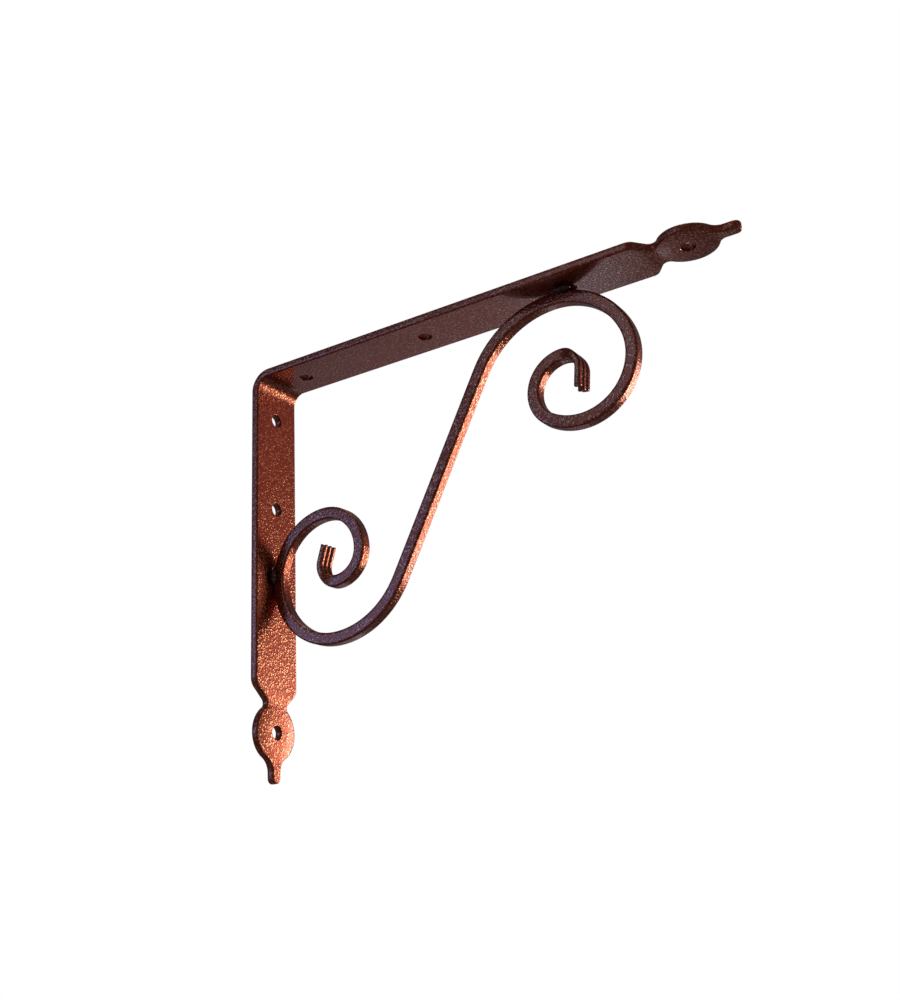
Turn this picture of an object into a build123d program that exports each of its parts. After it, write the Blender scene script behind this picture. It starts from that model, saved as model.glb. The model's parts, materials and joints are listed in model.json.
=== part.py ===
from build123d import *
from dataclasses import dataclass
import math
import os

# Shelf bracket: a flat bar bent to a right angle and braced by an S of square bar.
#
# Frame: +X points out from the wall along the shelf, +Y across the bar, +Z up.
# The wall is the plane X = 0 and Y = 0 runs down the middle of the bar's width.
# The origin is the point on the wall midway between the two upper wall screws.
# Everything is drawn from the corner where the wall meets the shelf, and moved
# to that origin when it is written. All sizes are in millimetres and degrees.

# Flat bar
strip_width = 30.0
strip_thickness = 4.0
wall_arm_length = 210.0  # from the shelf plane to the lower tip
shelf_arm_length = 262.0  # from the wall plane to the outer tip
bend_inner_radius = 6.6
strip_edge_break = 0.4

# Screw holes, from the shelf plane down the wall arm and from the wall plane out
screw_hole_diameter = 6.8
first_wall_hole = 23.1
second_wall_hole = 72.2
first_shelf_hole = 24.3
second_shelf_hole = 99.4

# Forged end of each arm: shoulders, a pinched neck, a round pad with the last
# screw hole in its middle, and a short tongue. Both are made by hand, so the
# shoulders differ, and the one towards +Y starts a little further out.
hole_to_tip = 24.2
pad_radius = 14.0
tongue_root_width = 6.6
shelf_shoulder_to_hole = 20.8
shelf_shoulder_angle = 52.2
shelf_shoulder_radius = 4.4
shelf_shoulder_stagger = 0.9
shelf_neck_radius = 2.9
shelf_tongue_root_radius = 5.7
shelf_tongue_tip_width = 6.0
shelf_tongue_tip_radius = 2.8
wall_shoulder_to_hole = 21.4
wall_shoulder_angle = 47.6
wall_shoulder_radius = 6.4
wall_shoulder_stagger = 2.8
wall_neck_radius = 2.5
wall_tongue_root_radius = 7.8
wall_tongue_tip_width = 5.5
wall_tongue_tip_radius = 2.6

# Scroll: one square bar, a straight diagonal with a curl at each end
scroll_bar_size = 6.0
scroll_edge_break = 0.6
diagonal_angle = 61.1  # up from the horizontal
diagonal_length = 103.7

# Upper curl, from the diagonal inwards. Its first bend ends at the shelf.
shelf_bend_radius = 46.2
upper_outer_radius = 37.9
upper_outer_angle = 70.0
upper_lower_radius = 27.6
upper_lower_angle = 142.5
upper_inner_radius = 15.8
upper_inner_angle = 146.4
upper_paw_radius = 8.7
upper_paw_angle = 97.8
upper_paw_reach = 9.6  # straight end of the paw

# Lower curl, from the diagonal inwards. Its second bend ends at the wall.
lower_bend_radius = 44.0
wall_bend_radius = 34.2
lower_upper_radius = 29.4
lower_outer_radius = 21.0
lower_inner_radius = 14.6
lower_neck_angle = 14.1
lower_paw_radius = 8.6
lower_paw_angle = 94.0
lower_paw_reach = 8.4  # straight end of the paw

# Paw: the bar's end is hammered flat and grooved into three toes
paw_toes = 3
upper_toe_width = 3.7
lower_toe_width = 3.1
toe_edge_break = 0.7
paw_thickness = 3.3
paw_flattening = 8.0  # along the bar, from the square to the flat
outer_toe_setback = 1.0  # on the upper paw, whose middle toe is the longest

# Welds: a short run on each side of the scroll where it meets the flat bar
shelf_weld_gap = 1.2
wall_weld_gap = 0.15
weld_radius = 2.2
weld_length = 9.0
shelf_weld_offset = 6.8  # from the touching point outwards
wall_weld_offset = 3.0  # from the touching point upwards

bend_outer_radius = bend_inner_radius + strip_thickness
quarter_turn = 90.0
taper_steps = 4  # sections between the square bar and the flat of a paw


def heading_vector(heading):
    """Unit vector in the XZ plane at an angle up from +X."""
    angle = math.radians(heading)
    return Vector(math.cos(angle), 0, math.sin(angle))


def broken_bar(width, thickness, edge_break):
    """Section of a bar whose four edges are broken."""
    return chamfer(Rectangle(width, thickness).vertices(), edge_break)


@dataclass
class ForgedEnd:
    """Shape of the forged end of one arm, as seen flat."""

    shoulder_to_hole: float
    shoulder_angle: float
    shoulder_radius: float
    shoulder_stagger: float
    neck_radius: float
    tongue_root_radius: float
    tongue_tip_width: float
    tongue_tip_radius: float

    def taper(self, hole):
        """The bar up to its shoulders and the point behind them, inside the pad."""
        half_width = strip_width / 2
        slope = math.tan(math.radians(self.shoulder_angle))
        middle = hole - self.shoulder_to_hole
        near = middle - self.shoulder_stagger / 2
        far = middle + self.shoulder_stagger / 2
        return make_face(
            Polyline(
                (bend_outer_radius, -half_width),
                (near, -half_width),
                (middle + half_width / slope, self.shoulder_stagger * slope / 2),
                (far, half_width),
                (bend_outer_radius, half_width),
                close=True,
            )
        )

    def tongue(self, hole, tip):
        """The tongue, from the middle of the pad to the tip."""
        return make_face(
            Polyline(
                (hole, -tongue_root_width / 2),
                (tip, -self.tongue_tip_width / 2),
                (tip, self.tongue_tip_width / 2),
                (hole, tongue_root_width / 2),
                close=True,
            )
        )

    def outline(self, length):
        """One arm in the flat: +X runs from the corner of the bracket to the tip."""
        hole = length - hole_to_tip
        face = self.taper(hole) + Pos(hole, 0) * Circle(pad_radius) + self.tongue(hole, length)
        for side in (-1, 1):
            face = fillet(corner(face, side, 4), self.tongue_tip_radius)
            face = fillet(corner(face, side, 3), self.tongue_root_radius)
            face = fillet(corner(face, side, 2), self.neck_radius)
            face = fillet(corner(face, side, 1), self.shoulder_radius)
        return face


def corner(face, side, index):
    """Corner on one side of an arm: 1 shoulder, 2 neck, 3 tongue root, 4 tip."""
    corners = [place for place in face.vertices() if place.Y * side > 0]
    return sorted(corners, key=lambda place: place.X)[index]


def arm(end, length, holes):
    """One arm lying on the XY plane, with broken edges and its screw holes."""
    blank = extrude(end.outline(length), strip_thickness)
    rims = blank.edges().group_by(Axis.Z)[0] + blank.edges().group_by(Axis.Z)[-1]
    start = rims.group_by(Axis.X)[0]
    blank = chamfer([edge for edge in rims if edge not in start], strip_edge_break)
    drill = Cylinder(screw_hole_diameter / 2, strip_thickness * 3)
    for hole in holes:
        blank -= Pos(hole, 0, 0) * drill
    return blank


def bend():
    """The quarter turn between the two arms."""
    start = Plane(
        origin=(bend_outer_radius, 0, -strip_thickness / 2),
        x_dir=(0, 1, 0),
        z_dir=(1, 0, 0),
    )
    section = start * broken_bar(strip_width, strip_thickness, strip_edge_break)
    hinge = Axis((bend_outer_radius, 0, -bend_outer_radius), (0, -1, 0))
    return revolve(section, axis=hinge, revolution_arc=quarter_turn)


def forged_shelf_end():
    """The end of the shelf arm."""
    return ForgedEnd(
        shelf_shoulder_to_hole,
        shelf_shoulder_angle,
        shelf_shoulder_radius,
        shelf_shoulder_stagger,
        shelf_neck_radius,
        shelf_tongue_root_radius,
        shelf_tongue_tip_width,
        shelf_tongue_tip_radius,
    )


def forged_wall_end():
    """The end of the wall arm."""
    return ForgedEnd(
        wall_shoulder_to_hole,
        wall_shoulder_angle,
        wall_shoulder_radius,
        wall_shoulder_stagger,
        wall_neck_radius,
        wall_tongue_root_radius,
        wall_tongue_tip_width,
        wall_tongue_tip_radius,
    )


def bent_flat_bar():
    """Both arms and the bend between them, as one bar."""
    shelf_holes = [first_shelf_hole, second_shelf_hole, shelf_arm_length - hole_to_tip]
    wall_holes = [first_wall_hole, second_wall_hole, wall_arm_length - hole_to_tip]
    shelf_arm = arm(forged_shelf_end(), shelf_arm_length, shelf_holes)
    wall_arm = arm(forged_wall_end(), wall_arm_length, wall_holes)
    return Pos(0, 0, -strip_thickness) * shelf_arm + bend() + Rot(0, quarter_turn, 0) * wall_arm


class Bar:
    """A bar's centre line in the XZ plane, made of straights and clockwise bends."""

    def __init__(self, start, heading):
        self.end = start
        self.heading = heading
        self.start_plane = section_plane(start, heading)
        self.edges = []

    def straight(self, length):
        """Run on straight."""
        start = self.end
        self.end = start + heading_vector(self.heading) * length
        self.edges.append(Line(start, self.end))

    def turn(self, radius, angle):
        """Bend clockwise, as seen with +X to the right and +Z up."""
        start = self.end
        centre = start + heading_vector(self.heading - quarter_turn) * radius
        middle = centre + heading_vector(self.heading + quarter_turn - angle / 2) * radius
        self.end = centre + heading_vector(self.heading + quarter_turn - angle) * radius
        self.heading -= angle
        self.edges.append(ThreePointArc(start, middle, self.end))


def section_plane(point, heading):
    """Plane across a bar: its X is the bracket's +Y, its Y lies in the XZ plane."""
    return Plane(origin=point, x_dir=(0, 1, 0), z_dir=heading_vector(heading))


def scroll_layout():
    """Centre lines of both curls, where they touch, and their shift to wall and shelf."""
    upper = Bar(Vector(0, 0, 0), diagonal_angle)
    upper.straight(diagonal_length / 2)
    upper.turn(shelf_bend_radius, diagonal_angle)
    shelf_touch = upper.end
    upper.turn(upper_outer_radius, upper_outer_angle)
    upper.turn(upper_lower_radius, upper_lower_angle)
    upper.turn(upper_inner_radius, upper_inner_angle)

    lower = Bar(Vector(0, 0, 0), diagonal_angle + 2 * quarter_turn)
    lower.straight(diagonal_length / 2)
    lower.turn(lower_bend_radius, diagonal_angle)
    lower.turn(wall_bend_radius, quarter_turn)
    wall_touch = lower.end
    lower.turn(lower_upper_radius, quarter_turn)
    lower.turn(lower_outer_radius, quarter_turn)
    lower.turn(lower_inner_radius, quarter_turn)
    lower.turn(lower_paw_radius, lower_neck_angle)

    stand_off = strip_thickness + scroll_bar_size / 2
    across = stand_off + wall_weld_gap - wall_touch.X
    down = stand_off + shelf_weld_gap + shelf_touch.Z
    shift = Vector(across, 0, -down)
    return upper, lower, shelf_touch + shift, wall_touch + shift, shift


def square_section():
    """Section of the scroll's bar."""
    return broken_bar(scroll_bar_size, scroll_bar_size, scroll_edge_break)


def curl(bar):
    """The square bar along one centre line, from the middle of the diagonal."""
    return sweep(bar.start_plane * square_section(), path=Wire(bar.edges))


def toe_places(toe_width):
    """Place of each toe across the bar, the nearest to -Y first."""
    first = -(paw_toes - 1) * toe_width / 2
    return [first + toe_width * index for index in range(paw_toes)]


def paw_section(toe_width):
    """Toes side by side, with a groove between each and the next."""
    toe = broken_bar(toe_width, paw_thickness, toe_edge_break)
    web = Rectangle((paw_toes - 1) * toe_width, paw_thickness - 2 * toe_edge_break)
    return web + [Pos(place, 0) * toe for place in toe_places(toe_width)]


def taper_section(share, toe_width):
    """Section part of the way from the square bar to the flat of the paw."""
    width = scroll_bar_size + share * (paw_toes * toe_width - scroll_bar_size)
    thickness = scroll_bar_size + share * (paw_thickness - scroll_bar_size)
    return broken_bar(width, thickness, scroll_edge_break)


def paw(bar, toe_width, radius, angle, reach):
    """The flattened end of the bar, from where its centre line stops."""
    neck = Bar(bar.end, bar.heading)
    sections = [neck.start_plane * square_section()]
    for step in range(taper_steps):
        neck.turn(radius, math.degrees(paw_flattening / radius) / taper_steps)
        plane = section_plane(neck.end, neck.heading)
        sections.append(plane * taper_section((step + 1) / taper_steps, toe_width))
    toes = Bar(neck.end, neck.heading)
    toes.turn(radius, angle - (bar.heading - neck.heading))
    toes.straight(reach)
    grooved = sweep(toes.start_plane * paw_section(toe_width), path=Wire(toes.edges))
    return loft(sections) + grooved, toes


def s_scroll(upper, lower, shift):
    """The whole scroll in one piece."""
    upper_paw, toes = paw(
        upper, upper_toe_width, upper_paw_radius, upper_paw_angle, upper_paw_reach
    )
    lower_paw, _ = paw(
        lower, lower_toe_width, lower_paw_radius, lower_paw_angle, lower_paw_reach
    )
    end = section_plane(toes.end, toes.heading)
    clipping = Box(upper_toe_width, paw_thickness * 2, outer_toe_setback * 2)
    for place in (toe_places(upper_toe_width)[0], toe_places(upper_toe_width)[-1]):
        upper_paw -= end * Pos(place, 0) * clipping
    return Pos(shift) * (curl(upper) + curl(lower) + upper_paw + lower_paw)


def weld(place, along, outward):
    """A round-ended run on each side of the scroll, laid along the flat bar."""
    runs = []
    for side in (-1, 1):
        beside = Vector(0, side * (scroll_bar_size + weld_radius) / 2, 0)
        centre = place + beside + outward * weld_radius / 2
        straight = weld_length - 2 * weld_radius
        lying = Plane(origin=centre, z_dir=along)
        runs.append(lying * Cylinder(weld_radius, straight))
        for end in (-straight / 2, straight / 2):
            runs.append(lying * Pos(0, 0, end) * Sphere(weld_radius))
    return runs[0] + runs[1:]


def main():
    """Build each sub-part, move it to the bracket's frame and write it."""
    os.makedirs("parts", exist_ok=True)
    to_frame = Pos(0, 0, (first_wall_hole + second_wall_hole) / 2)
    upper, lower, shelf_touch, wall_touch, shift = scroll_layout()
    strip = bent_flat_bar()
    scroll = s_scroll(upper, lower, shift)

    out, up = Vector(1, 0, 0), Vector(0, 0, 1)
    shelf_place = Vector(shelf_touch.X + shelf_weld_offset, 0, -strip_thickness)
    wall_place = Vector(strip_thickness, 0, wall_touch.Z + wall_weld_offset)
    pieces = {
        "bent_flat_bar": strip,
        "s_scroll": scroll,
        "shelf_weld": weld(shelf_place, out, -up) - strip - scroll,
        "wall_weld": weld(wall_place, up, out) - strip - scroll,
    }
    for name, solid in pieces.items():
        export_step(to_frame * solid, f"parts/{name}.step")


main()
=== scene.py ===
"""Looks of a shelf bracket: a bent flat bar with forged ends, braced by a scroll."""

import json
import logging
import math
from dataclasses import dataclass, field
from enum import Enum

import bmesh
import bpy
from bmesh.types import BMEdge, BMesh, BMVert
from mathutils import Matrix, Vector, noise

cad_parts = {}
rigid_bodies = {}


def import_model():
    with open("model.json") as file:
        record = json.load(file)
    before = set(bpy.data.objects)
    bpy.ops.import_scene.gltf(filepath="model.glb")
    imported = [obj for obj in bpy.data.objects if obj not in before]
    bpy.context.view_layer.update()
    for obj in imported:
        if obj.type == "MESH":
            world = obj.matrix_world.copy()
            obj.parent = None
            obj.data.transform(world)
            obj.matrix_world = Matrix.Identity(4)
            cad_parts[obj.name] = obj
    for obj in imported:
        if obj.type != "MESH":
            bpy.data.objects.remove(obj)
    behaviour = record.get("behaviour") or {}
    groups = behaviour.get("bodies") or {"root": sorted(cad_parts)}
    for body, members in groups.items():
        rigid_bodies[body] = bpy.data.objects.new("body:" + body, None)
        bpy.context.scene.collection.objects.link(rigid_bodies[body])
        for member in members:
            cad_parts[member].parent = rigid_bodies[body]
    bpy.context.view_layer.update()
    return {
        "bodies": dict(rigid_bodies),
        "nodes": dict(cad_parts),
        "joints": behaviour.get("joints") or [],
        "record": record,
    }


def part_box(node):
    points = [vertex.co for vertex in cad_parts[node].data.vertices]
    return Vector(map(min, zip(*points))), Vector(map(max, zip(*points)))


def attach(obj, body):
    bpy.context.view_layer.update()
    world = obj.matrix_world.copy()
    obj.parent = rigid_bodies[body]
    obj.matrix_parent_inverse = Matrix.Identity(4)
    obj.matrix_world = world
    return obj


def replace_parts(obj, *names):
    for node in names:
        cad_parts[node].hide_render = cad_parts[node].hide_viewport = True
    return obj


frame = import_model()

Colour = tuple[float, float, float, float]

LOG = logging.getLogger("bracket")
MM = 0.001
QUARTER = math.pi / 2
MERGE = 1e-7  # points closer than this are one
SQUARE_WITHIN = 0.1  # radians
UPRIGHT = 0.999  # least Z of a level face's normal
SEED = 5  # of the noise on the welds
ACROSS = Vector((0, 1, 0))
WHITE: Colour = (1.0, 1.0, 1.0, 1.0)


class Slot(Enum):
    """Material slots of the record."""

    HAMMERED = "hammered_paint"
    WELD = "painted_weld"


# ---------------------------------------------------------------- shader tools


class Signal:
    """An output socket that Python arithmetic extends with Math nodes."""

    def __init__(self, graph: "Graph", node: bpy.types.Node, output: str | int) -> None:
        """Wrap one output of a node."""
        self.graph = graph
        self.node = node
        self.socket = node.outputs[output]

    def output(self, name: str) -> "Signal":
        """Return another output of the same node."""
        return Signal(self.graph, self.node, name)

    def _math(self, operation: str, first: object, second: object) -> "Signal":
        """Add one Math node."""
        return self.graph.node("ShaderNodeMath", {"operation": operation}, {0: first, 1: second})

    def __add__(self, other: object) -> "Signal":
        """Return self + other."""
        return self._math("ADD", self, other)

    def __radd__(self, other: object) -> "Signal":
        """Return other + self."""
        return self._math("ADD", other, self)

    def __sub__(self, other: object) -> "Signal":
        """Return self - other."""
        return self._math("SUBTRACT", self, other)

    def __rsub__(self, other: object) -> "Signal":
        """Return other - self."""
        return self._math("SUBTRACT", other, self)

    def __mul__(self, other: object) -> "Signal":
        """Return self * other."""
        return self._math("MULTIPLY", self, other)

    def __rmul__(self, other: object) -> "Signal":
        """Return other * self."""
        return self._math("MULTIPLY", other, self)


class Graph:
    """Builds one node tree, each node through one method."""

    def __init__(self, tree: bpy.types.NodeTree) -> None:
        """Start from an empty tree."""
        self.tree = tree
        tree.nodes.clear()

    def node(
        self,
        kind: str,
        settings: dict[str, object] | None = None,
        inputs: dict[str | int, object] | None = None,
        output: str | int = 0,
    ) -> Signal | None:
        """Add a node.

        Args:
            kind: Type of the node.
            settings: Properties set before the sockets, "stops" being a ramp's.
            inputs: Value or Signal of each socket, by name or index.
            output: The output to return.

        Returns:
            That output as a Signal, or None where the node has no output.
        """
        made = self.tree.nodes.new(kind)
        for name, value in (settings or {}).items():
            if name == "stops":
                self._set_stops(made.color_ramp, value)
            else:
                setattr(made, name, value)
        for name, value in (inputs or {}).items():
            if isinstance(value, Signal):
                self.tree.links.new(value.socket, made.inputs[name])
            else:
                made.inputs[name].default_value = value
        if not len(made.outputs):
            return None
        return Signal(self, made, output)

    @staticmethod
    def _set_stops(ramp: bpy.types.ColorRamp, stops: list[tuple[float, Colour]]) -> None:
        """Give a ramp its stops."""
        while len(ramp.elements) < len(stops):
            ramp.elements.new(1.0)
        for element, (place, colour) in zip(ramp.elements, stops):
            element.position = place
            element.color = colour

    def mix(self, share: object, first: object, second: object) -> Signal:
        """Mix two colours: share 0 is the first, 1 the second."""
        inputs = {0: share, 6: first, 7: second}  # the sockets that RGBA uses
        return self.node("ShaderNodeMix", {"data_type": "RGBA"}, inputs, output=2)

    def ramp(self, value: object, low: float, high: float) -> Signal:
        """Spread a value smoothly from 0 at low to 1 at high."""
        return self.node(
            "ShaderNodeMapRange",
            {"interpolation_type": "SMOOTHSTEP"},
            {"Value": value, "From Min": low, "From Max": high},
        )


@dataclass(frozen=True)
class HammeredPaint:
    """Hammered copper paint: copper flake gathered in small domes, dark red enamel between them."""

    name: str = "hammered_copper"
    flake: Colour = (0.40, 0.112, 0.042, 1.0)
    pale_flake: Colour = (0.42, 0.19, 0.094, 1.0)
    enamel: Colour = (0.29, 0.042, 0.020, 1.0)
    dark_enamel: Colour = (0.20, 0.028, 0.014, 1.0)
    enamel_metal: float = 0.95
    cell: float = 1.15 * MM  # size of a dome
    fleck: float = 0.40 * MM
    cloud: float = 16 * MM
    relief: float = 0.088 * MM  # height of a dome
    fleck_relief: float = 0.35  # height of a fleck, as a share of a dome's
    cells_per_drift: float = 0.6  # how closely the domes' uneven placing varies
    cell_smoothness: float = 0.6
    dome_reach: tuple[float, float] = (0.05, 0.65)  # from top to foot, in cells
    cover_parts: tuple[float, float, float] = (0.8, 0.5, 0.3)  # domes, flecks, clouds
    cover_reach: tuple[float, float] = (0.45, 1.0)  # their sum where flake starts and is full
    least_flake: float = 0.25
    most_flake: float = 0.78
    flake_roughness: float = 0.17
    thin_flake_roughness: float = 0.08  # added where there is no cover
    enamel_roughness: float = 0.24
    fleck_roughness: float = 0.05  # added to the enamel on a fleck
    enamel_shine: float = 0.25
    coat: float = 0.55
    coat_roughness: float = 0.14

    @staticmethod
    def speckle(graph: Graph, place: Signal, size: float) -> Signal:
        """Return noise whose spots have a size."""
        inputs = {"Vector": place, "Scale": 1 / size, "Detail": 2.0}
        return graph.node("ShaderNodeTexNoise", {}, inputs)

    def domes(self, graph: Graph, place: Signal) -> Signal:
        """Return the hammered pattern, 1 on top of each dome and 0 between them."""
        drift = graph.node(
            "ShaderNodeTexNoise",
            {},
            {"Vector": place, "Scale": self.cells_per_drift / self.cell, "Detail": 1.0},
            "Color",
        )
        moved = graph.node(
            "ShaderNodeVectorMath",
            {"operation": "MULTIPLY_ADD"},
            {0: drift, 1: (self.cell,) * 3, 2: place},
        )
        cells = graph.node(
            "ShaderNodeTexVoronoi",
            {"feature": "SMOOTH_F1"},
            {"Vector": moved, "Scale": 1 / self.cell, "Smoothness": self.cell_smoothness},
        )
        return 1 - graph.ramp(cells, *self.dome_reach)

    def material(self) -> bpy.types.Material:
        """Return the node material of this finish."""
        made = bpy.data.materials.new(self.name)
        made.use_nodes = True
        graph = Graph(made.node_tree)
        place = graph.node("ShaderNodeTexCoord", output="Object")
        dome = self.domes(graph, place)
        flecks = self.speckle(graph, place, self.fleck)
        clouds = self.speckle(graph, place, self.cloud)
        in_domes, in_flecks, in_clouds = self.cover_parts
        cover = graph.ramp(
            dome * in_domes + flecks * in_flecks + clouds * in_clouds, *self.cover_reach
        )
        height = dome + flecks * self.fleck_relief
        relief = graph.node(
            "ShaderNodeBump", {}, {"Strength": 1.0, "Distance": self.relief, "Height": height}
        )
        copper = graph.node(
            "ShaderNodeBsdfPrincipled",
            {},
            {
                "Base Color": graph.mix(cover, self.flake, self.pale_flake),
                "Metallic": 1.0,
                "Roughness": self.flake_roughness + (1 - cover) * self.thin_flake_roughness,
                "Normal": relief,
                "Coat Weight": self.coat,
                "Coat Roughness": self.coat_roughness,
            },
        )
        enamel = graph.node(
            "ShaderNodeBsdfPrincipled",
            {},
            {
                "Base Color": graph.mix(cover, self.dark_enamel, self.enamel),
                "Metallic": self.enamel_metal,
                "Roughness": self.enamel_roughness + flecks * self.fleck_roughness,
                "Specular IOR Level": self.enamel_shine,
                "Normal": relief,
            },
        )
        share = self.least_flake + cover * (self.most_flake - self.least_flake)
        paint = graph.node("ShaderNodeMixShader", {}, {0: share, 1: enamel, 2: copper})
        graph.node("ShaderNodeOutputMaterial", {}, {"Surface": paint})
        return made


# ---------------------------------------------------------------- mesh tools


class Pen:
    """Draws a chain of edges on the plane Z = 0, one stroke at a time."""

    stroke = 0.4 * MM  # longest edge of an arc
    least_strokes = 3

    def __init__(self, mesh: BMesh, start: Vector) -> None:
        """Set the pen down."""
        self.mesh = mesh
        self.first = bmesh.ops.create_vert(mesh, co=start)["vert"][0]
        self.tip = self.first

    def line(self, end: Vector) -> None:
        """Draw straight to a point."""
        self.tip = bmesh.ops.extrude_vert_indiv(self.mesh, verts=[self.tip])["verts"][0]
        self.tip.co = end

    def arc(self, centre: Vector, angle: float) -> None:
        """Draw round a centre, anticlockwise where the angle is positive."""
        length = abs(angle) * (self.tip.co - centre).length
        made = bmesh.ops.spin(
            self.mesh,
            geom=[self.tip],
            cent=centre,
            axis=(0, 0, 1),
            angle=angle,
            steps=max(self.least_strokes, math.ceil(length / self.stroke)),
            use_duplicate=False,
        )
        self.tip = next(item for item in made["geom_last"] if isinstance(item, BMVert))

    def arc_to(self, centre: Vector, direction: Vector) -> None:
        """Draw round a centre, the shorter way, until the tip lies in a direction from it."""
        start = self.tip.co - centre
        angle = math.atan2(direction.y, direction.x) - math.atan2(start.y, start.x)
        self.arc(centre, (angle + math.pi) % (2 * math.pi) - math.pi)


def finished(name: str, mesh: BMesh, material: bpy.types.Material) -> bpy.types.Object:
    """Turn a bmesh into a smooth piece that rides on the bracket.

    Args:
        name: Name of the piece.
        mesh: Its shape, which is freed.
        material: Its finish.

    Returns:
        The new object.
    """
    bmesh.ops.remove_doubles(mesh, verts=mesh.verts, dist=MERGE)
    bmesh.ops.recalc_face_normals(mesh, faces=mesh.faces)
    data = bpy.data.meshes.new(name)
    for face in mesh.faces:
        face.smooth = True
    mesh.to_mesh(data)
    mesh.free()
    data.materials.append(material)
    piece = bpy.data.objects.new(name, data)
    bpy.context.scene.collection.objects.link(piece)
    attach(piece, "root")
    return piece


# ---------------------------------------------------------------- flat bar


@dataclass(frozen=True)
class ForgedEnd:
    """Shoulders, a pinched neck, a round pad and a short tongue at an arm's end."""

    shoulder_to_hole: float
    shoulder_angle: float
    shoulder_radius: float
    shoulder_stagger: float
    neck_radius: float
    root_radius: float
    tip_width: float
    tip_radius: float
    hole_to_tip: float = 24.2 * MM
    pad_radius: float = 14.0 * MM
    root_width: float = 6.6 * MM

    def draw(self, pen: Pen, tip: float, half_width: float, side: int) -> None:
        """Draw one half of the outline, from the tip back to the shoulder.

        Args:
            pen: The pen, at the tip on the centre line.
            tip: Place of the tip along the bar.
            half_width: Half the bar's width.
            side: 1 for the half towards +Y, -1 for the other. Both are drawn towards +Y.
        """
        hole = Vector((tip - self.hole_to_tip, 0, 0))
        flank = Vector((self.hole_to_tip, (self.tip_width - self.root_width) / 2, 0)).normalized()
        above = Vector((-flank.y, flank.x, 0))
        root = Vector((hole.x, self.root_width / 2, 0))
        corner = Vector((tip, self.tip_width / 2, 0))
        reach = self.tip_radius * math.tan((QUARTER - math.asin(-flank.y)) / 2)
        pen.line(corner - Vector((0, reach, 0)))
        pen.arc_to(corner - Vector((self.tip_radius, reach, 0)), above)
        root_centre = self.beside(hole, root + above * self.root_radius, flank, self.root_radius)
        pen.line(root_centre - above * self.root_radius)
        pen.arc_to(root_centre, hole - root_centre)

        slope = Vector((math.cos(self.shoulder_angle), -math.sin(self.shoulder_angle), 0))
        outside = Vector((-slope.y, slope.x, 0))
        set_back = self.shoulder_to_hole - side * self.shoulder_stagger / 2
        shoulder = Vector((hole.x - set_back, half_width, 0))
        beside_slope = shoulder + outside * self.neck_radius
        neck_centre = self.beside(hole, beside_slope, -slope, self.neck_radius)
        pen.arc_to(hole, neck_centre - hole)
        pen.arc_to(neck_centre, -outside)
        reach = self.shoulder_radius * math.tan(self.shoulder_angle / 2)
        pen.line(shoulder + slope * reach)
        pen.arc_to(shoulder - Vector((reach, self.shoulder_radius, 0)), ACROSS)

    def beside(self, hole: Vector, start: Vector, along: Vector, radius: float) -> Vector:
        """Centre of the fillet between the pad and a line.

        Args:
            hole: Middle of the pad.
            start: A point at the fillet's radius from the line.
            along: Direction of the line.
            radius: The fillet's radius.

        Returns:
            The point on the far side, along the line, that clears the pad by the radius.
        """
        offset = start - hole
        half = offset.dot(along)
        reach = self.pad_radius + radius
        root = math.sqrt(half * half - offset.length_squared + reach * reach)
        return start + along * (root - half)


SHELF_END = ForgedEnd(
    shoulder_to_hole=20.8 * MM,
    shoulder_angle=math.radians(52.2),
    shoulder_radius=4.4 * MM,
    shoulder_stagger=0.9 * MM,
    neck_radius=2.9 * MM,
    root_radius=5.7 * MM,
    tip_width=6.0 * MM,
    tip_radius=2.8 * MM,
)
WALL_END = ForgedEnd(
    shoulder_to_hole=21.4 * MM,
    shoulder_angle=math.radians(47.6),
    shoulder_radius=6.4 * MM,
    shoulder_stagger=2.8 * MM,
    neck_radius=2.5 * MM,
    root_radius=7.8 * MM,
    tip_width=5.5 * MM,
    tip_radius=2.6 * MM,
)


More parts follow.
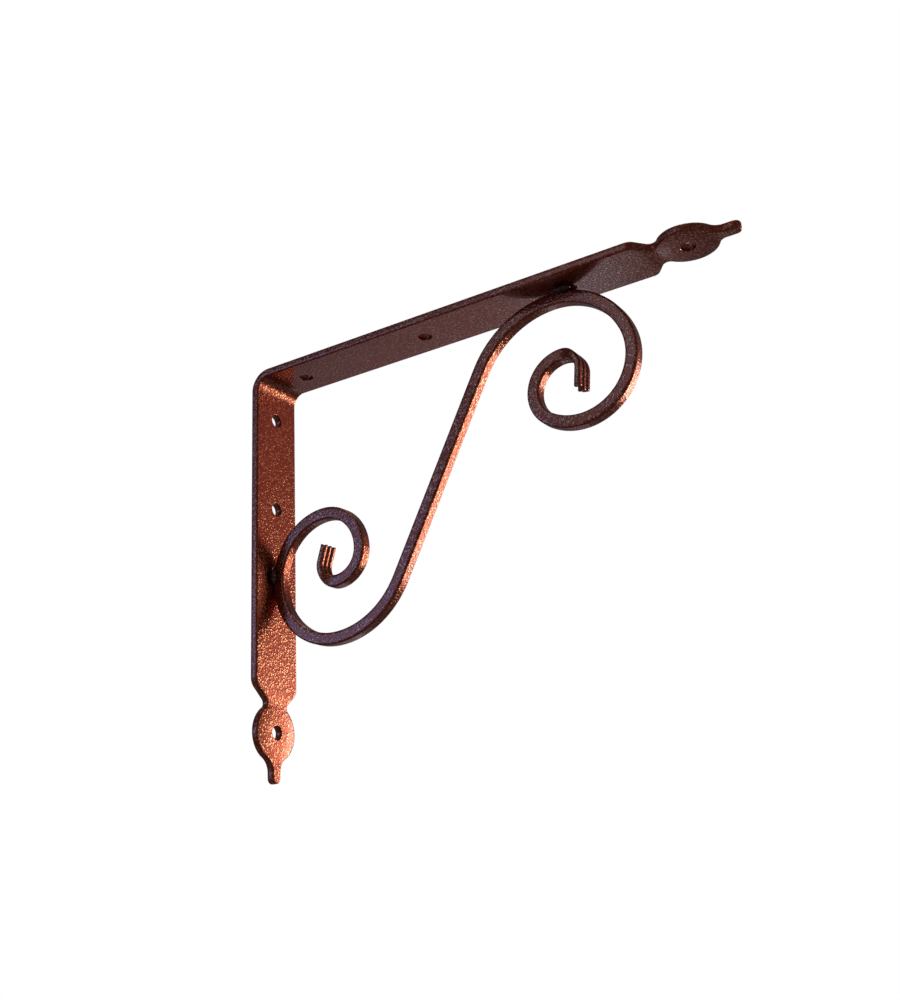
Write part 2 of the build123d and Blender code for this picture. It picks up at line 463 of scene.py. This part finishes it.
@dataclass
class FlatBar:
    """The flat bar, cut and drilled in the flat, then bent round the corner."""

    material: bpy.types.Material
    node: str = "bent_flat_bar"
    thickness: float = 4.0 * MM
    bend_inner_radius: float = 6.6 * MM
    edge_radius: float = 0.8 * MM
    edge_segments: int = 4
    hole_break: float = 0.25 * MM
    hole_break_segments: int = 2
    band: float = 0.3 * MM  # narrow strip of faces beside every rim
    pad_crown: float = 0.55 * MM  # how much thinner a pad is at its rim
    pad_flat: float = 0.45  # share of the pad's radius that stays flat
    pad_fade: float = 1.25  # pad radii along the bar at which the thinning has died out
    fade_power: int = 4
    hole_radius: float = 3.4 * MM
    shelf_holes: tuple[float, ...] = (24.3 * MM, 99.4 * MM)
    wall_holes: tuple[float, ...] = (23.1 * MM, 72.2 * MM)
    ring_step: float = 2.0 * MM
    bend_steps: int = 18
    lengthwise_cuts: int = 5
    half_width: float = field(init=False)
    top: float = field(init=False)
    shelf_length: float = field(init=False)
    wall_length: float = field(init=False)
    bend_outer_radius: float = field(init=False)
    bend_length: float = field(init=False)  # along the middle plane

    def __post_init__(self) -> None:
        """Read the bar's reach from the frame."""
        low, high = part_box(self.node)
        self.half_width = (high.y - low.y) / 2
        self.top = high.z
        self.shelf_length = high.x - low.x
        self.wall_length = high.z - low.z
        self.bend_outer_radius = self.bend_inner_radius + self.thickness
        self.bend_length = QUARTER * (self.bend_inner_radius + self.thickness / 2)

    def flat(self, distance: float) -> float:
        """Place along the unbent bar of a distance from the outer corner."""
        return distance - self.bend_outer_radius + self.bend_length / 2

    def pad_holes(self) -> tuple[float, float]:
        """Places of the two pads' holes along the unbent blank, the shelf arm's first."""
        return (
            self.flat(self.shelf_length) - SHELF_END.hole_to_tip,
            WALL_END.hole_to_tip - self.flat(self.wall_length),
        )

    def draw_half(
        self, mesh: BMesh, end: ForgedEnd, length: float, holes: tuple[float, ...], side: int
    ) -> None:
        """Lay out one half of an arm in the flat, from the middle of the bend to the tip.

        Args:
            mesh: The arm's bmesh.
            end: The arm's forged end.
            length: The arm's length from the outer corner.
            holes: Distance of each screw hole from the outer corner.
            side: 1 for the half towards +Y, -1 for the other.
        """
        before = set(mesh.verts)
        tip = self.flat(length)
        pen = Pen(mesh, Vector((0, 0, 0)))
        for hole in [*(self.flat(place) for place in holes), tip - end.hole_to_tip]:
            pen.line(Vector((hole - self.hole_radius, 0, 0)))
            pen.arc(Vector((hole, 0, 0)), -math.pi)
        pen.line(Vector((tip, 0, 0)))
        end.draw(pen, tip, self.half_width, side)
        pen.line(Vector((0, self.half_width, 0)))
        pen.line(Vector((0, 0, 0)))
        fresh = [vert for vert in mesh.verts if vert not in before]
        bmesh.ops.remove_doubles(mesh, verts=fresh, dist=MERGE)
        fresh = [vert for vert in mesh.verts if vert not in before]
        edges = dict.fromkeys(edge for vert in fresh for edge in vert.link_edges)
        bmesh.ops.contextual_create(mesh, geom=list(edges))
        bmesh.ops.scale(mesh, vec=(1, side, 1), verts=fresh)

    def arm(self, end: ForgedEnd, length: float, holes: tuple[float, ...]) -> BMesh:
        """Return one arm's outline with its holes, along +X from the middle of the bend."""
        mesh = bmesh.new()
        for side in (1, -1):
            self.draw_half(mesh, end, length, holes, side)
        return mesh

    def blank(self) -> BMesh:
        """Return the drilled blank in the flat, its outer face on Z = 0."""
        mesh = self.arm(WALL_END, self.wall_length, self.wall_holes)
        bmesh.ops.scale(mesh, vec=(-1, 1, 1), verts=mesh.verts)
        self.join(mesh, self.arm(SHELF_END, self.shelf_length, self.shelf_holes))
        bmesh.ops.remove_doubles(mesh, verts=mesh.verts, dist=MERGE)
        bmesh.ops.recalc_face_normals(mesh, faces=mesh.faces)
        if mesh.faces[:][0].normal.z < 0:
            bmesh.ops.reverse_faces(mesh, faces=mesh.faces)
        grown = bmesh.ops.extrude_face_region(mesh, geom=mesh.faces[:])
        lower = [item for item in grown["geom"] if isinstance(item, BMVert)]
        bmesh.ops.translate(mesh, verts=lower, vec=(0, 0, -self.thickness))
        bmesh.ops.recalc_face_normals(mesh, faces=mesh.faces)
        return mesh

    @staticmethod
    def join(mesh: BMesh, other: BMesh) -> None:
        """Add another bmesh to a bmesh and free it."""
        data = bpy.data.meshes.new("joined")
        other.to_mesh(data)
        other.free()
        mesh.from_mesh(data)
        bpy.data.meshes.remove(data)

    def round_rims(self, mesh: BMesh) -> None:
        """Round the bar's rims and break those of its holes, with a narrow band beside both."""
        rims = [edge for edge in mesh.edges if self.is_rim(edge)]
        drilled = [edge for edge in rims if self.by_hole(edge)]
        outer = [edge for edge in rims if not self.by_hole(edge)]
        for edges, offset, segments in (
            (outer, self.edge_radius, self.edge_segments),
            (drilled, self.hole_break, self.hole_break_segments),
        ):
            bmesh.ops.bevel(
                mesh,
                geom=edges,
                offset=offset,
                offset_type="OFFSET",
                segments=segments,
                profile=0.5,
                affect="EDGES",
                material=-1,
                clamp_overlap=True,
            )
        flats = [face for face in mesh.faces if abs(face.normal.z) > UPRIGHT]
        bmesh.ops.inset_region(mesh, faces=flats, thickness=self.band, use_even_offset=True)

    @staticmethod
    def is_rim(edge: BMEdge) -> bool:
        """Tell whether an edge of the blank lies between one of its faces and its side."""
        return (
            len(edge.link_faces) == 2
            and abs(edge.calc_face_angle() - QUARTER) < SQUARE_WITHIN
            and abs(edge.verts[0].co.z - edge.verts[1].co.z) < MERGE
        )

    def by_hole(self, edge: BMEdge) -> bool:
        """Tell whether an edge of the blank lies round a screw hole."""
        middle = (edge.verts[0].co + edge.verts[1].co).xy / 2
        shelf = [self.flat(place) for place in self.shelf_holes]
        wall = [-self.flat(place) for place in self.wall_holes]
        places = [*shelf, *wall, *self.pad_holes()]
        near = min((middle - Vector((place, 0))).length for place in places)
        return near < self.hole_radius + MERGE

    def cut(self, mesh: BMesh) -> None:
        """Divide the bar across and along, closer together where it bends."""
        start, stop = -self.flat(self.wall_length), self.flat(self.shelf_length)
        half_bend = self.bend_length / 2
        steps = range(self.bend_steps + 1)
        cross = [half_bend * (2 * step / self.bend_steps - 1) for step in steps]
        for first, last in ((start, -half_bend), (half_bend, stop)):
            count = round((last - first) / self.ring_step)
            cross += [first + (last - first) * step / count for step in range(1, count)]
        for place in cross:
            self.bisect(mesh, Vector((place, 0, 0)), Vector((1, 0, 0)))
        for step in range(1, self.lengthwise_cuts + 1):
            for side in (-1, 1):
                place = side * self.half_width * step / (self.lengthwise_cuts + 1)
                self.bisect(mesh, Vector((0, place, 0)), ACROSS)

    @staticmethod
    def bisect(mesh: BMesh, place: Vector, normal: Vector) -> None:
        """Cut every face that a plane crosses."""
        everything = mesh.verts[:] + mesh.edges[:] + mesh.faces[:]
        bmesh.ops.bisect_plane(mesh, geom=everything, dist=MERGE, plane_co=place, plane_no=normal)

    def forge(self, point: Vector) -> Vector:
        """Thin the inner face of each pad towards its rim, as hammering leaves it."""
        pad = SHELF_END.pad_radius
        holes = self.pad_holes()
        from_hole = min((point.xy - Vector((hole, 0))).length for hole in holes)
        flat_part = pad * self.pad_flat
        rise = max(0.0, min(1.0, (from_hole - flat_part) / (pad - flat_part)))
        beyond = min(abs(point.x - hole) for hole in holes) / (pad * self.pad_fade)
        fade = max(0.0, 1 - beyond**self.fade_power)
        depth = -point.z / self.thickness
        return point + Vector((0, 0, self.pad_crown * rise * rise * fade * depth))

    def fold(self, point: Vector) -> Vector:
        """Where a point of the unbent bar lies once it is bent."""
        half_bend = self.bend_length / 2
        if point.x >= half_bend:
            along = point.x - half_bend + self.bend_outer_radius
            return Vector((along, point.y, point.z + self.top))
        turned = min(QUARTER, (half_bend - point.x) / self.bend_length * QUARTER)
        radius = self.bend_outer_radius + point.z
        centre = Vector((self.bend_outer_radius, 0, self.top - self.bend_outer_radius))
        placed = centre + Vector((-math.sin(turned) * radius, point.y, math.cos(turned) * radius))
        placed.z += min(0.0, point.x + half_bend)
        return placed

    def build(self) -> bpy.types.Object:
        """Return the finished bar."""
        mesh = self.blank()
        self.round_rims(mesh)
        self.cut(mesh)
        for vert in mesh.verts:
            vert.co = self.fold(self.forge(vert.co))
        piece = finished("flat_bar", mesh, self.material)
        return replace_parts(piece, self.node)


# ---------------------------------------------------------------- scroll


@dataclass(frozen=True)
class Bend:
    """One bend of a bar: its centre line's radius and how far it turns."""

    radius: float
    angle: float  # degrees


@dataclass(frozen=True)
class Paw:
    """The hammered end of the scroll, grooved into toes."""

    toe_width: float
    radius: float
    angle: float  # degrees
    reach: float  # straight end after the bend
    setback: float = 0.0  # of the outer toes
    toes: int = 3
    thickness: float = 3.3 * MM
    flattening: float = 8.0 * MM  # along the bar, from the square to the flat
    groove: float = 1.0 * MM
    groove_power: int = 3
    side_groove: float = 0.35  # depth at the bar's sides, as a share of a groove's
    core: float = 0.3  # share of the bar's size, from its middle, that a groove leaves alone
    tip_round: float = 0.5 * MM

    def lane(self, across: float) -> tuple[float, bool]:
        """Find a point's toe.

        Args:
            across: The point's place across the flattened bar.

        Returns:
            How far it lies from its toe's middle, 1 being the edge, and whether it
            is on one of the outer toes.
        """
        place = across / self.toe_width + self.toes / 2
        toe = min(self.toes - 1, max(0, math.floor(place)))
        return min(1.0, abs(place - toe - 0.5) * 2), toe in (0, self.toes - 1)

    def shape(self, point: Vector, size: float, share: float, ahead: float) -> Vector:
        """Move a point of the square section to where hammering brings it.

        Args:
            point: The point in its ring's frame: X across, Y through, Z ahead.
            size: The square bar's size.
            share: How far the bar is flattened, from 0 to 1.
            ahead: How far along the straight reach the ring is, from 0 to 1.

        Returns:
            The moved point.
        """
        eased = share * share * (3 - 2 * share)
        across = point.x * (1 + eased * (self.toes * self.toe_width / size - 1))
        through = point.y * (1 + eased * (self.thickness / size - 1))
        beside, outer = self.lane(across)
        at_side = abs(across) > (self.toes - 1) / 2 * self.toe_width
        depth = self.groove * eased * beside**self.groove_power
        depth *= self.side_groove if at_side else 1.0
        face = min(1.0, abs(point.y) / (size * self.core))
        through -= math.copysign(depth * face, through)
        back = (self.setback if outer else 0.0) + self.tip_round * beside * beside
        return Vector((across, through, point.z - back * ahead * ahead))


class Sweep:
    """Drives the open end of a square bar along straights and clockwise bends."""

    step = 1.0 * MM  # along a bend's centre line
    end_depth = 0.6  # how far an end stands out, as a share of its rounding

    def __init__(self, mesh: BMesh, ring: list[BMEdge], at: Vector, heading: float) -> None:
        """Start from a ring of edges.

        Args:
            mesh: The bar's bmesh.
            ring: The ring round the bar.
            at: Middle of the ring.
            heading: Direction of travel, up from +X, in degrees.
        """
        self.mesh = mesh
        self.ring = ring
        self.at = at.copy()
        self.heading = heading

    @staticmethod
    def way(heading: float) -> Vector:
        """Unit vector at a heading in degrees."""
        angle = math.radians(heading)
        return Vector((math.cos(angle), 0, math.sin(angle)))

    def frame(self) -> Matrix:
        """Frame of the ring: X across the bracket, Y away from the bends, Z ahead."""
        axes = Matrix((ACROSS, self.way(self.heading + 90), self.way(self.heading)))
        return Matrix.Translation(self.at) @ axes.transposed().to_4x4()

    def verts(self) -> list[BMVert]:
        """Corner points of the ring."""
        return list(dict.fromkeys(vert for edge in self.ring for vert in edge.verts))

    def straight(self, length: float, steps: int = 1) -> None:
        """Run on straight."""
        for _ in range(steps):
            made = bmesh.ops.extrude_edge_only(self.mesh, edges=self.ring)["geom"]
            fresh = {item for item in made if isinstance(item, BMVert)}
            edges = [item for item in made if isinstance(item, BMEdge)]
            self.ring = [edge for edge in edges if fresh.issuperset(edge.verts)]
            move = self.way(self.heading) * length / steps
            bmesh.ops.translate(self.mesh, verts=self.verts(), vec=move)
            self.at += move

    def bend(self, radius: float, angle: float, steps: int | None = None) -> None:
        """Bend clockwise by an angle in degrees, as seen with +X to the right and +Z up."""
        centre = self.at + self.way(self.heading - 90) * radius
        turned = math.radians(angle)
        made = bmesh.ops.spin(
            self.mesh,
            geom=self.ring + self.verts(),
            cent=centre,
            axis=ACROSS,
            angle=turned,
            steps=steps or math.ceil(turned * radius / self.step),
            use_duplicate=False,
        )
        self.ring = [item for item in made["geom_last"] if isinstance(item, BMEdge)]
        self.heading -= angle
        self.at = centre + self.way(self.heading + 90) * radius

    def close(self, edge_radius: float) -> None:
        """Cap the ring with a softened end."""
        face = bmesh.ops.contextual_create(self.mesh, geom=self.ring)["faces"]
        depth = edge_radius * self.end_depth
        bmesh.ops.inset_region(self.mesh, faces=face, thickness=edge_radius, depth=depth)


@dataclass
class Scroll:
    """The S of square bar: a diagonal with a curl at each end."""

    material: bpy.types.Material
    node: str = "s_scroll"
    size: float = 6.0 * MM
    edge_radius: float = 0.9 * MM
    edge_segments: int = 4
    end_radius: float = 0.3 * MM
    diagonal_angle: float = 61.1  # degrees up from +X
    diagonal: float = 103.7 * MM
    diagonal_step: float = 2.0 * MM
    upper: tuple[Bend, ...] = (
        Bend(46.2 * MM, 61.1),
        Bend(37.9 * MM, 70.0),
        Bend(27.6 * MM, 142.5),
        Bend(15.8 * MM, 146.4),
    )
    lower: tuple[Bend, ...] = (
        Bend(44.0 * MM, 61.1),
        Bend(34.2 * MM, 90.0),
        Bend(29.4 * MM, 90.0),
        Bend(21.0 * MM, 90.0),
        Bend(14.6 * MM, 90.0),
        Bend(8.6 * MM, 14.1),
    )
    upper_paw: Paw = Paw(3.7 * MM, 8.7 * MM, 97.8, 9.6 * MM, setback=1.0 * MM)
    lower_paw: Paw = Paw(3.1 * MM, 8.6 * MM, 94.0, 8.4 * MM)
    paw_step: float = 0.8 * MM
    across_cuts: int = 23
    through_cuts: int = 4

    def section(self, mesh: BMesh) -> list[BMEdge]:
        """Return the ring of the rounded square at the middle of the diagonal."""
        start = Sweep(mesh, [], Vector((0, 0, 0)), self.diagonal_angle)
        turned = start.frame() @ Matrix.Rotation(QUARTER / 2, 4, "Z")
        corners = bmesh.ops.create_circle(
            mesh, cap_ends=True, radius=self.size / math.sqrt(2), segments=4, matrix=turned
        )["verts"]
        bmesh.ops.bevel(
            mesh,
            geom=corners,
            offset=self.edge_radius,
            offset_type="OFFSET",
            segments=self.edge_segments,
            profile=0.5,
            affect="VERTICES",
            material=-1,
            clamp_overlap=True,
        )
        bmesh.ops.delete(mesh, geom=mesh.faces[:], context="FACES_ONLY")
        half = self.size / 2
        flats = [edge for edge in mesh.edges if edge.calc_length() > half]
        across = [
            edge for edge in flats if abs(edge.verts[0].co.y - edge.verts[1].co.y) > half
        ]
        through = [edge for edge in flats if edge not in across]
        bmesh.ops.subdivide_edges(mesh, edges=across, cuts=self.across_cuts)
        bmesh.ops.subdivide_edges(mesh, edges=through, cuts=self.through_cuts)
        return mesh.edges[:]

    def make_paw(self, sweep: Sweep, paw: Paw) -> None:
        """Curl the bar's end, then flatten and groove it ring by ring."""
        curl = math.radians(paw.angle) * paw.radius
        rings = []
        steps = math.ceil(curl / self.paw_step)
        for step in range(1, steps + 1):
            sweep.bend(paw.radius, paw.angle / steps, 1)
            rings.append((sweep.verts(), sweep.frame(), curl * step / steps, 0.0))
        steps = math.ceil(paw.reach / self.paw_step)
        for step in range(1, steps + 1):
            sweep.straight(paw.reach / steps)
            distance = curl + paw.reach * step / steps
            rings.append((sweep.verts(), sweep.frame(), distance, step / steps))
        for verts, frame, distance, ahead in rings:
            share = min(1.0, distance / paw.flattening)
            inverse = frame.inverted()
            for vert in verts:
                vert.co = frame @ paw.shape(inverse @ vert.co, self.size, share, ahead)
        sweep.close(self.end_radius)

    def build(self) -> bpy.types.Object:
        """Return the finished scroll."""
        mesh = bmesh.new()
        ring = self.section(mesh)
        for heading, bends, paw in (
            (self.diagonal_angle, self.upper, self.upper_paw),
            (self.diagonal_angle + 180, self.lower, self.lower_paw),
        ):
            sweep = Sweep(mesh, ring, Vector((0, 0, 0)), heading)
            half = self.diagonal / 2
            sweep.straight(half, round(half / self.diagonal_step))
            for bend in bends:
                sweep.bend(bend.radius, bend.angle)
            self.make_paw(sweep, paw)
        low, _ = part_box(self.node)
        shift = Vector((
            low.x - min(vert.co.x for vert in mesh.verts),
            0,
            low.z - min(vert.co.z for vert in mesh.verts),
        ))
        bmesh.ops.translate(mesh, verts=mesh.verts, vec=shift)
        piece = finished("scroll", mesh, self.material)
        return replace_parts(piece, self.node)


# ---------------------------------------------------------------- welds


@dataclass
class Weld:
    """A lumpy run of weld on each side of the scroll."""

    node: str
    material: bpy.types.Material
    along: Vector
    width: float = 4.4 * MM
    offset: float = 4.1 * MM  # of each run from the middle plane
    pitch: float = 2.3 * MM  # of the ripples
    swell: float = 0.10
    lump: float = 0.25 * MM
    lump_spacing: float = 2.5 * MM
    segments_round: int = 40
    segments_up: int = 28

    def build(self) -> bpy.types.Object:
        """Return both runs as one piece."""
        low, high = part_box(self.node)
        middle = (low + high) / 2
        size = high - low
        mesh = bmesh.new()
        for side in (-1, 1):
            run = bmesh.ops.create_uvsphere(
                mesh, u_segments=self.segments_round, v_segments=self.segments_up, radius=0.5
            )["verts"]
            bmesh.ops.scale(mesh, vec=(size.x, self.width, size.z), verts=run)
            for vert in run:
                along = vert.co.dot(self.along)
                wave = 1 + self.swell * math.cos(2 * math.pi * along / self.pitch)
                across = vert.co - self.along * along
                vert.co = self.along * along + across * wave
                spot = vert.co / self.lump_spacing + Vector((side, 0, 0))
                vert.co += noise.noise_vector(spot) * self.lump
            aside = Vector((0, side * self.offset, 0))
            bmesh.ops.translate(mesh, verts=run, vec=middle + aside)
        piece = finished(f"{self.node}_beads", mesh, self.material)
        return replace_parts(piece, self.node)


# ---------------------------------------------------------------- studio


@dataclass(frozen=True)
class Window:
    """A round patch of the surroundings, pale or dark, that only reflections show."""

    toward: tuple[float, float, float]
    colour: Colour
    inner: float  # degrees from its middle
    outer: float

    def glow(self, graph: Graph, way: Signal) -> Signal:
        """Return 1 inside the window's inner angle, falling to 0 at its outer one."""
        near = graph.node(
            "ShaderNodeVectorMath",
            {"operation": "DOT_PRODUCT"},
            {0: way, 1: Vector(self.toward).normalized()},
            "Value",
        )
        edge, core = (math.cos(math.radians(angle)) for angle in (self.outer, self.inner))
        return graph.ramp(near, edge, core)


@dataclass
class Studio:
    """Camera, white surroundings, floor and lamp."""

    station: Vector = field(default_factory=lambda: Vector((0.3947, -0.4520, -0.2253)))
    azimuth: float = math.radians(32.278)
    elevation: float = math.radians(-18.812)
    roll: float = math.radians(-2.871)
    focal_length: float = 43.81
    sensor: float = 36.0
    clip: tuple[float, float] = (0.01, 50.0)
    backdrop: Vector = field(default_factory=lambda: Vector((0.60, 0.79, -0.09)))
    backdrop_reach: tuple[float, float] = (0.75, 0.97)  # cosines of its edge and its core
    backdrop_foot: tuple[float, float] = (-0.42, -0.28)  # heights between which it fades in
    backdrop_head: tuple[float, float] = (0.10, 0.30)  # and fades out
    daylight: Colour = (0.65, 0.65, 0.65, 1.0)  # what every other ray meets
    room: Colour = (0.12, 0.12, 0.15, 1.0)  # what reflections meet outside the windows
    room_above: Colour = (3.0, 2.9, 2.8, 1.0)
    above_reach: tuple[float, float] = (0.93, 0.985)  # heights
    windows: tuple[Window, ...] = (
        # mirrored by the near sides: dark blue in the middle, pale at the upper curl
        Window((-0.48, -0.78, 0.40), (0.01, 0.06, 0.34, 1.0), 9.0, 15.0),
        Window((-0.33, -0.825, 0.46), (1.10, 1.80, 2.70, 1.0), 4.0, 7.5),
        # mirrored by the shelf arm's underside
        Window((-0.47, 0.76, -0.45), (0.37, 0.38, 0.47, 1.0), 8.0, 10.5),
        # mirrored by the upper part of the wall arm's inner face
        Window((0.61, 0.70, 0.36), (0.54, 0.26, 0.24, 1.0), 9.0, 17.0),
        # the sheen on the shelf arm's underside beyond the scroll
        Window((-0.375, 0.797, -0.473), (1.80, 2.70, 3.40, 1.0), 1.2, 3.2),
        # mirrored by the lower curl's near side
        Window((-0.60, -0.775, 0.16), (0.70, 1.50, 4.20, 1.0), 6.0, 12.0),
    )
    floor_colour: Colour = (0.8, 0.8, 0.8, 1.0)
    floor_glow: float = 0.6
    floor_middle: tuple[float, float, float] = (0.1, 0.0, -2.0)
    floor_radius: float = 1.2
    floor_segments: int = 96
    lamp_place: Vector = field(default_factory=lambda: Vector((0.86, 1.42, -0.20)))
    lamp_target: Vector = field(default_factory=lambda: Vector((0.1, 0, -0.05)))
    lamp_size: tuple[float, float] = (0.32, 0.9)
    lamp_power: float = 10.0  # watts
    lamp_colour: tuple[float, float, float] = (1.0, 0.98, 0.97)

    def camera(self) -> None:
        """Set up the camera, below the shelf and to the right of the bracket."""
        flat = math.cos(self.elevation)
        back = Vector((
            flat * math.sin(self.azimuth),
            -flat * math.cos(self.azimuth),
            math.sin(self.elevation),
        ))
        level = Vector((math.cos(self.azimuth), math.sin(self.azimuth), 0))
        upright = back.cross(level)
        right = level * math.cos(self.roll) + upright * math.sin(self.roll)
        up = upright * math.cos(self.roll) - level * math.sin(self.roll)
        data = bpy.data.cameras.new("camera")
        data.lens = self.focal_length
        data.sensor_width = self.sensor
        data.clip_start, data.clip_end = self.clip
        camera = bpy.data.objects.new("camera", data)
        axes = Matrix((right, up, back)).transposed().to_4x4()
        camera.matrix_world = Matrix.Translation(self.station) @ axes
        bpy.context.scene.collection.objects.link(camera)
        bpy.context.scene.camera = camera

    def world(self) -> None:
        """Show the camera white, light the paint evenly, and give its gloss a room to reflect."""
        world = bpy.data.worlds.new("surroundings")
        world.use_nodes = True
        bpy.context.scene.world = world
        graph = Graph(world.node_tree)
        path = graph.node("ShaderNodeLightPath", output="Is Camera Ray")
        mirrored = path.output("Is Glossy Ray") + path.output("Is Transmission Ray")
        way = graph.node("ShaderNodeTexCoord", output="Generated")
        height = graph.node("ShaderNodeSeparateXYZ", {}, {0: way}, "Z")
        facing = graph.node(
            "ShaderNodeVectorMath",
            {"operation": "DOT_PRODUCT"},
            {0: way, 1: self.backdrop.normalized()},
            "Value",
        )
        foot = graph.ramp(height, *self.backdrop_foot)
        band = foot * (1 - graph.ramp(height, *self.backdrop_head))
        behind = graph.ramp(facing, *self.backdrop_reach) * band
        dim = graph.mix(graph.ramp(height, *self.above_reach), self.room, self.room_above)
        for window in self.windows:
            dim = graph.mix(window.glow(graph, way), dim, window.colour)
        reflected = graph.mix(behind, dim, WHITE)
        lit = graph.mix(mirrored, self.daylight, reflected)
        seen = graph.mix(path, lit, WHITE)
        background = graph.node("ShaderNodeBackground", {}, {"Color": seen, "Strength": 1.0})
        graph.node("ShaderNodeOutputWorld", {}, {"Surface": background})

    def floor(self) -> None:
        """Lay a plain pale floor well below the bracket."""
        made = bpy.data.materials.new("floor")
        made.use_nodes = True
        graph = Graph(made.node_tree)
        path = graph.node("ShaderNodeLightPath", output="Is Camera Ray")
        shining = path + path.output("Is Transmission Ray")
        tone = graph.mix(path.output("Is Glossy Ray"), self.floor_colour, self.room)
        paint = graph.node("ShaderNodeBsdfDiffuse", {}, {"Color": tone})
        glow = graph.node(
            "ShaderNodeEmission", {}, {"Color": WHITE, "Strength": self.floor_glow}
        )
        both = graph.node("ShaderNodeAddShader", {}, {0: paint, 1: glow})
        shown = graph.node("ShaderNodeMixShader", {}, {0: shining, 1: paint, 2: both})
        graph.node("ShaderNodeOutputMaterial", {}, {"Surface": shown})
        mesh = bmesh.new()
        bmesh.ops.create_circle(
            mesh, cap_ends=True, radius=self.floor_radius, segments=self.floor_segments
        )
        bmesh.ops.translate(mesh, verts=mesh.verts, vec=self.floor_middle)
        data = bpy.data.meshes.new("floor")
        mesh.to_mesh(data)
        mesh.free()
        data.materials.append(made)
        ground = bpy.data.objects.new("floor", data)
        bpy.context.scene.collection.objects.link(ground)

    def lamp(self) -> None:
        """Light the bracket with a tall soft strip lamp behind it, to the right."""
        data = bpy.data.lights.new("strip", "AREA")
        data.shape = "RECTANGLE"
        data.size, data.size_y = self.lamp_size
        data.energy = self.lamp_power
        data.color = self.lamp_colour
        lamp = bpy.data.objects.new("strip", data)
        toward = self.lamp_target - self.lamp_place
        lamp.rotation_euler = toward.to_track_quat("-Z", "Y").to_euler()
        lamp.location = self.lamp_place
        bpy.context.scene.collection.objects.link(lamp)

    def build(self) -> None:
        """Set up the whole studio."""
        bpy.context.scene.view_settings.view_transform = "Standard"
        self.camera()
        self.world()
        self.floor()
        self.lamp()


def main() -> None:
    """Build the bracket piece by piece, then the studio round it."""
    logging.basicConfig(level=logging.INFO, format="%(name)s: %(message)s")
    noise.seed_set(SEED)
    paint = HammeredPaint().material()
    # The welds get the bar's paint made far darker, which is painted shade of the crevices where
    # the scroll meets the bar, not a colour of their own.
    weld_paint_with_painted_shade = HammeredPaint(
        name="hammered_copper_with_painted_shade_on_weld",
        flake=(0.16, 0.065, 0.045, 1.0),
        pale_flake=(0.24, 0.11, 0.08, 1.0),
        enamel=(0.05, 0.014, 0.010, 1.0),
        dark_enamel=(0.03, 0.008, 0.006, 1.0),
        cell=0.8 * MM,
        coat=1.0,
    ).material()
    pieces = [
        FlatBar(paint).build(),
        Scroll(paint).build(),
        Weld("shelf_weld", weld_paint_with_painted_shade, Vector((1, 0, 0))).build(),
        Weld("wall_weld", weld_paint_with_painted_shade, Vector((0, 0, 1))).build(),
    ]
    for piece in pieces:
        LOG.info("%s: %d faces", piece.name, len(piece.data.polygons))
    Studio().build()


if __name__ == "__main__":
    main()
